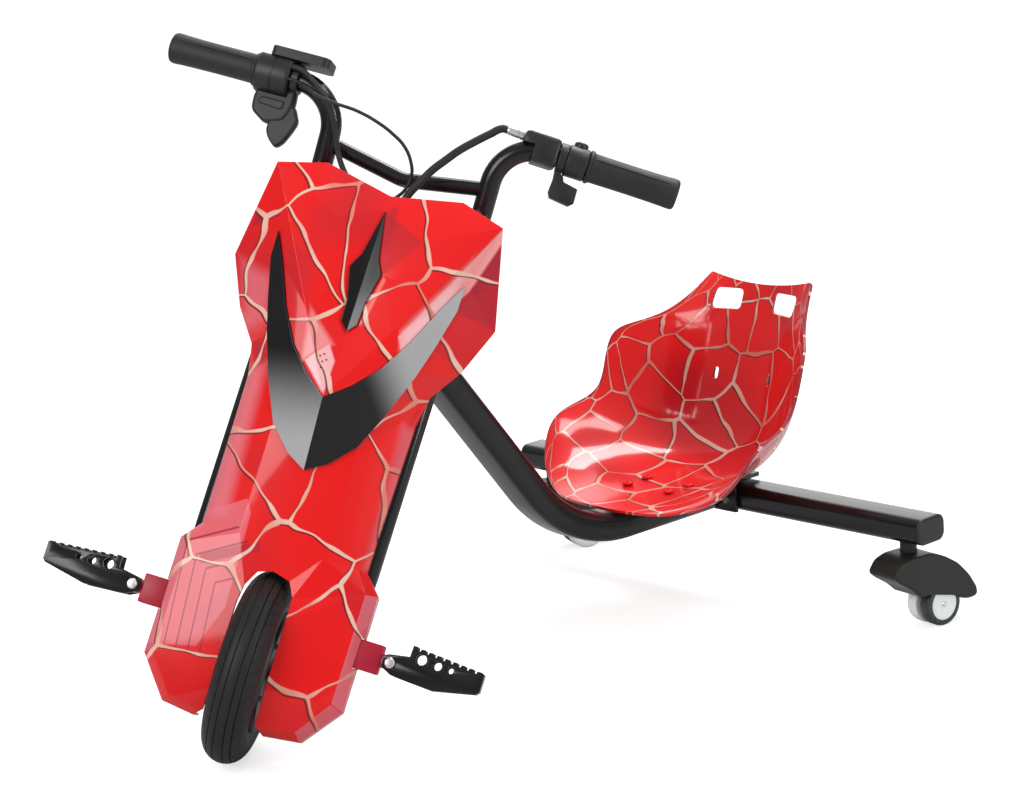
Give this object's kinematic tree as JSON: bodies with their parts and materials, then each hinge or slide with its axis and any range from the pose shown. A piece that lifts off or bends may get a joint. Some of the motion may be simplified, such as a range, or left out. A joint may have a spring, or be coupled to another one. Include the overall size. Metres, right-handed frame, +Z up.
{
  "type": "electric tricycle",
  "caption": "Child's electric drift trike: hub-motor front wheel in a raked fork with a faceted cover, bucket seat on a low bent frame, swivelling rear castors, folding foot pegs.",
  "frame": {"origin": "on the ground, at the middle of the bounding box of the trike as parked", "axes": "+Z up, -Y forwards along the frame, +X to the rider's left"},
  "size_m": [0.643, 0.9318, 0.7253],
  "materials": {
    "red_gloss": "glossy moulded plastic with a printed pattern",
    "crimson_paint": "satin paint",
    "black_paint": "semi-gloss powder coat",
    "black_gloss": "gloss black trim",
    "black_plastic": "fine matt grain",
    "black_rubber": "matt rubber",
    "tyre_rubber": "matt rubber tread",
    "grey_plastic": "fine grain",
    "zinc_steel": "bright zinc plate",
    "motor_casting": "dark cast and machined",
    "milky_wheel": "milky polyurethane",
    "battery_wrap": "shrink wrap",
    "controller_case": "anodised extrusion"
  },
  "bodies": {
    "frame": {"main_frame": "black_paint", "rear_crossbar": "black_paint", "crossbar_cap_left": "black_plastic", "crossbar_cap_right": "black_plastic", "crossbar_bolt_left": "zinc_steel", "crossbar_bolt_right": "zinc_steel", "seat_bracket": "black_paint", "seat_shell": "red_gloss", "seat_bolt_1": "zinc_steel", "seat_bolt_2": "zinc_steel", "seat_bolt_3": "zinc_steel", "seat_bolt_4": "zinc_steel", "head_bearing_lower": "zinc_steel", "head_bearing_upper": "zinc_steel", "castor_stem_left": "grey_plastic", "castor_stem_right": "grey_plastic"},
    "fork": {"fork_frame": "black_paint", "handlebar": "black_paint", "riser_clamp_left": "black_paint", "riser_clamp_right": "black_paint", "steering_bolt": "zinc_steel", "steering_nut": "zinc_steel", "front_cover": "red_gloss", "rear_cover": "black_plastic", "chevron_trim": "black_gloss", "fin_trim": "black_gloss", "battery_pack": "battery_wrap", "motor_controller": "controller_case", "motor_axle": "zinc_steel", "axle_nut_left": "zinc_steel", "axle_nut_right": "zinc_steel", "peg_bracket_left": "crimson_paint", "peg_bracket_right": "crimson_paint", "peg_pin_left": "zinc_steel", "peg_pin_right": "zinc_steel", "grip_left": "black_rubber", "grip_right": "black_rubber", "throttle_housing": "black_plastic", "display_pod": "black_plastic", "brake_housing": "black_plastic", "horn_housing": "black_plastic", "throttle_cable": "black_rubber", "display_cable": "black_rubber", "brake_cable": "black_rubber", "cable_ferrule": "zinc_steel"},
    "front_wheel": {"hub_motor": "motor_casting", "front_tyre": "tyre_rubber"},
    "peg_left": {"peg_left": "black_paint"},
    "peg_right": {"peg_right": "black_paint"},
    "thumb_throttle": {"thumb_throttle": "black_plastic"},
    "brake_lever": {"brake_lever": "black_plastic"},
    "horn_button": {"horn_button": "black_plastic"},
    "castor_left": {"castor_hood_left": "grey_plastic"},
    "castor_right": {"castor_hood_right": "grey_plastic"},
    "castor_wheels_left": {"castor_axle_left": "zinc_steel", "castor_wheel_left_outer": "milky_wheel", "castor_wheel_left_inner": "milky_wheel"},
    "castor_wheels_right": {"castor_axle_right": "zinc_steel", "castor_wheel_right_outer": "milky_wheel", "castor_wheel_right_inner": "milky_wheel"}
  },
  "joints": [
    {"name": "steering", "type": "hinge", "parent": "frame", "child": "fork", "pos_m": [0, -0.33209, 0.0975], "axis": [0, 0.4894, 0.8721], "range_deg": [-103, 17]},
    {"name": "front_wheel_spin", "type": "hinge", "parent": "fork", "child": "front_wheel", "pos_m": [0, -0.33209, 0.0975], "axis": [0.7314, 0.5948, -0.3338], "continuous": true},
    {"name": "peg_left_fold", "type": "hinge", "parent": "fork", "child": "peg_left", "pos_m": [0.10775, -0.23412, 0.0947], "axis": [0.682, -0.6378, 0.3579], "range_deg": [0, 90]},
    {"name": "peg_right_fold", "type": "hinge", "parent": "fork", "child": "peg_right", "pos_m": [-0.09411, -0.39828, 0.18682], "axis": [-0.682, 0.6378, -0.3579], "range_deg": [0, 90]},
    {"name": "throttle_push", "type": "hinge", "parent": "fork", "child": "thumb_throttle", "pos_m": [-0.04663, -0.10885, 0.6568], "axis": [-0.8141, -0.5064, 0.2842], "range_deg": [0, 30], "stiffness_Nm_per_rad": 0.2, "springref_deg": -22.92},
    {"name": "brake_push", "type": "hinge", "parent": "fork", "child": "brake_lever", "pos_m": [0.08209, -0.00417, 0.59806], "axis": [-0.6361, -0.6729, 0.3776], "range_deg": [0, 25], "stiffness_Nm_per_rad": 0.2, "springref_deg": -22.92},
    {"name": "horn_press", "type": "slide", "parent": "fork", "child": "horn_button", "axis": [0, -0.4894, -0.8721], "range_m": [0, 0.002], "stiffness_N_per_m": 300, "springref_m": -0.001},
    {"name": "castor_left_swivel", "type": "hinge", "parent": "frame", "child": "castor_left", "pos_m": [0.2865, 0.37051, 0], "axis": [0, 0, 1], "continuous": true},
    {"name": "castor_right_swivel", "type": "hinge", "parent": "frame", "child": "castor_right", "pos_m": [-0.2865, 0.37051, 0], "axis": [0, 0, 1], "continuous": true},
    {"name": "castor_left_spin", "type": "hinge", "parent": "castor_left", "child": "castor_wheels_left", "pos_m": [0.2907, 0.40475, 0.025], "axis": [-0.9925, 0.1219, 0], "continuous": true},
    {"name": "castor_right_spin", "type": "hinge", "parent": "castor_right", "child": "castor_wheels_right", "pos_m": [-0.27584, 0.40332, 0.025], "axis": [-0.9511, 0.309, 0], "continuous": true}
  ]
}
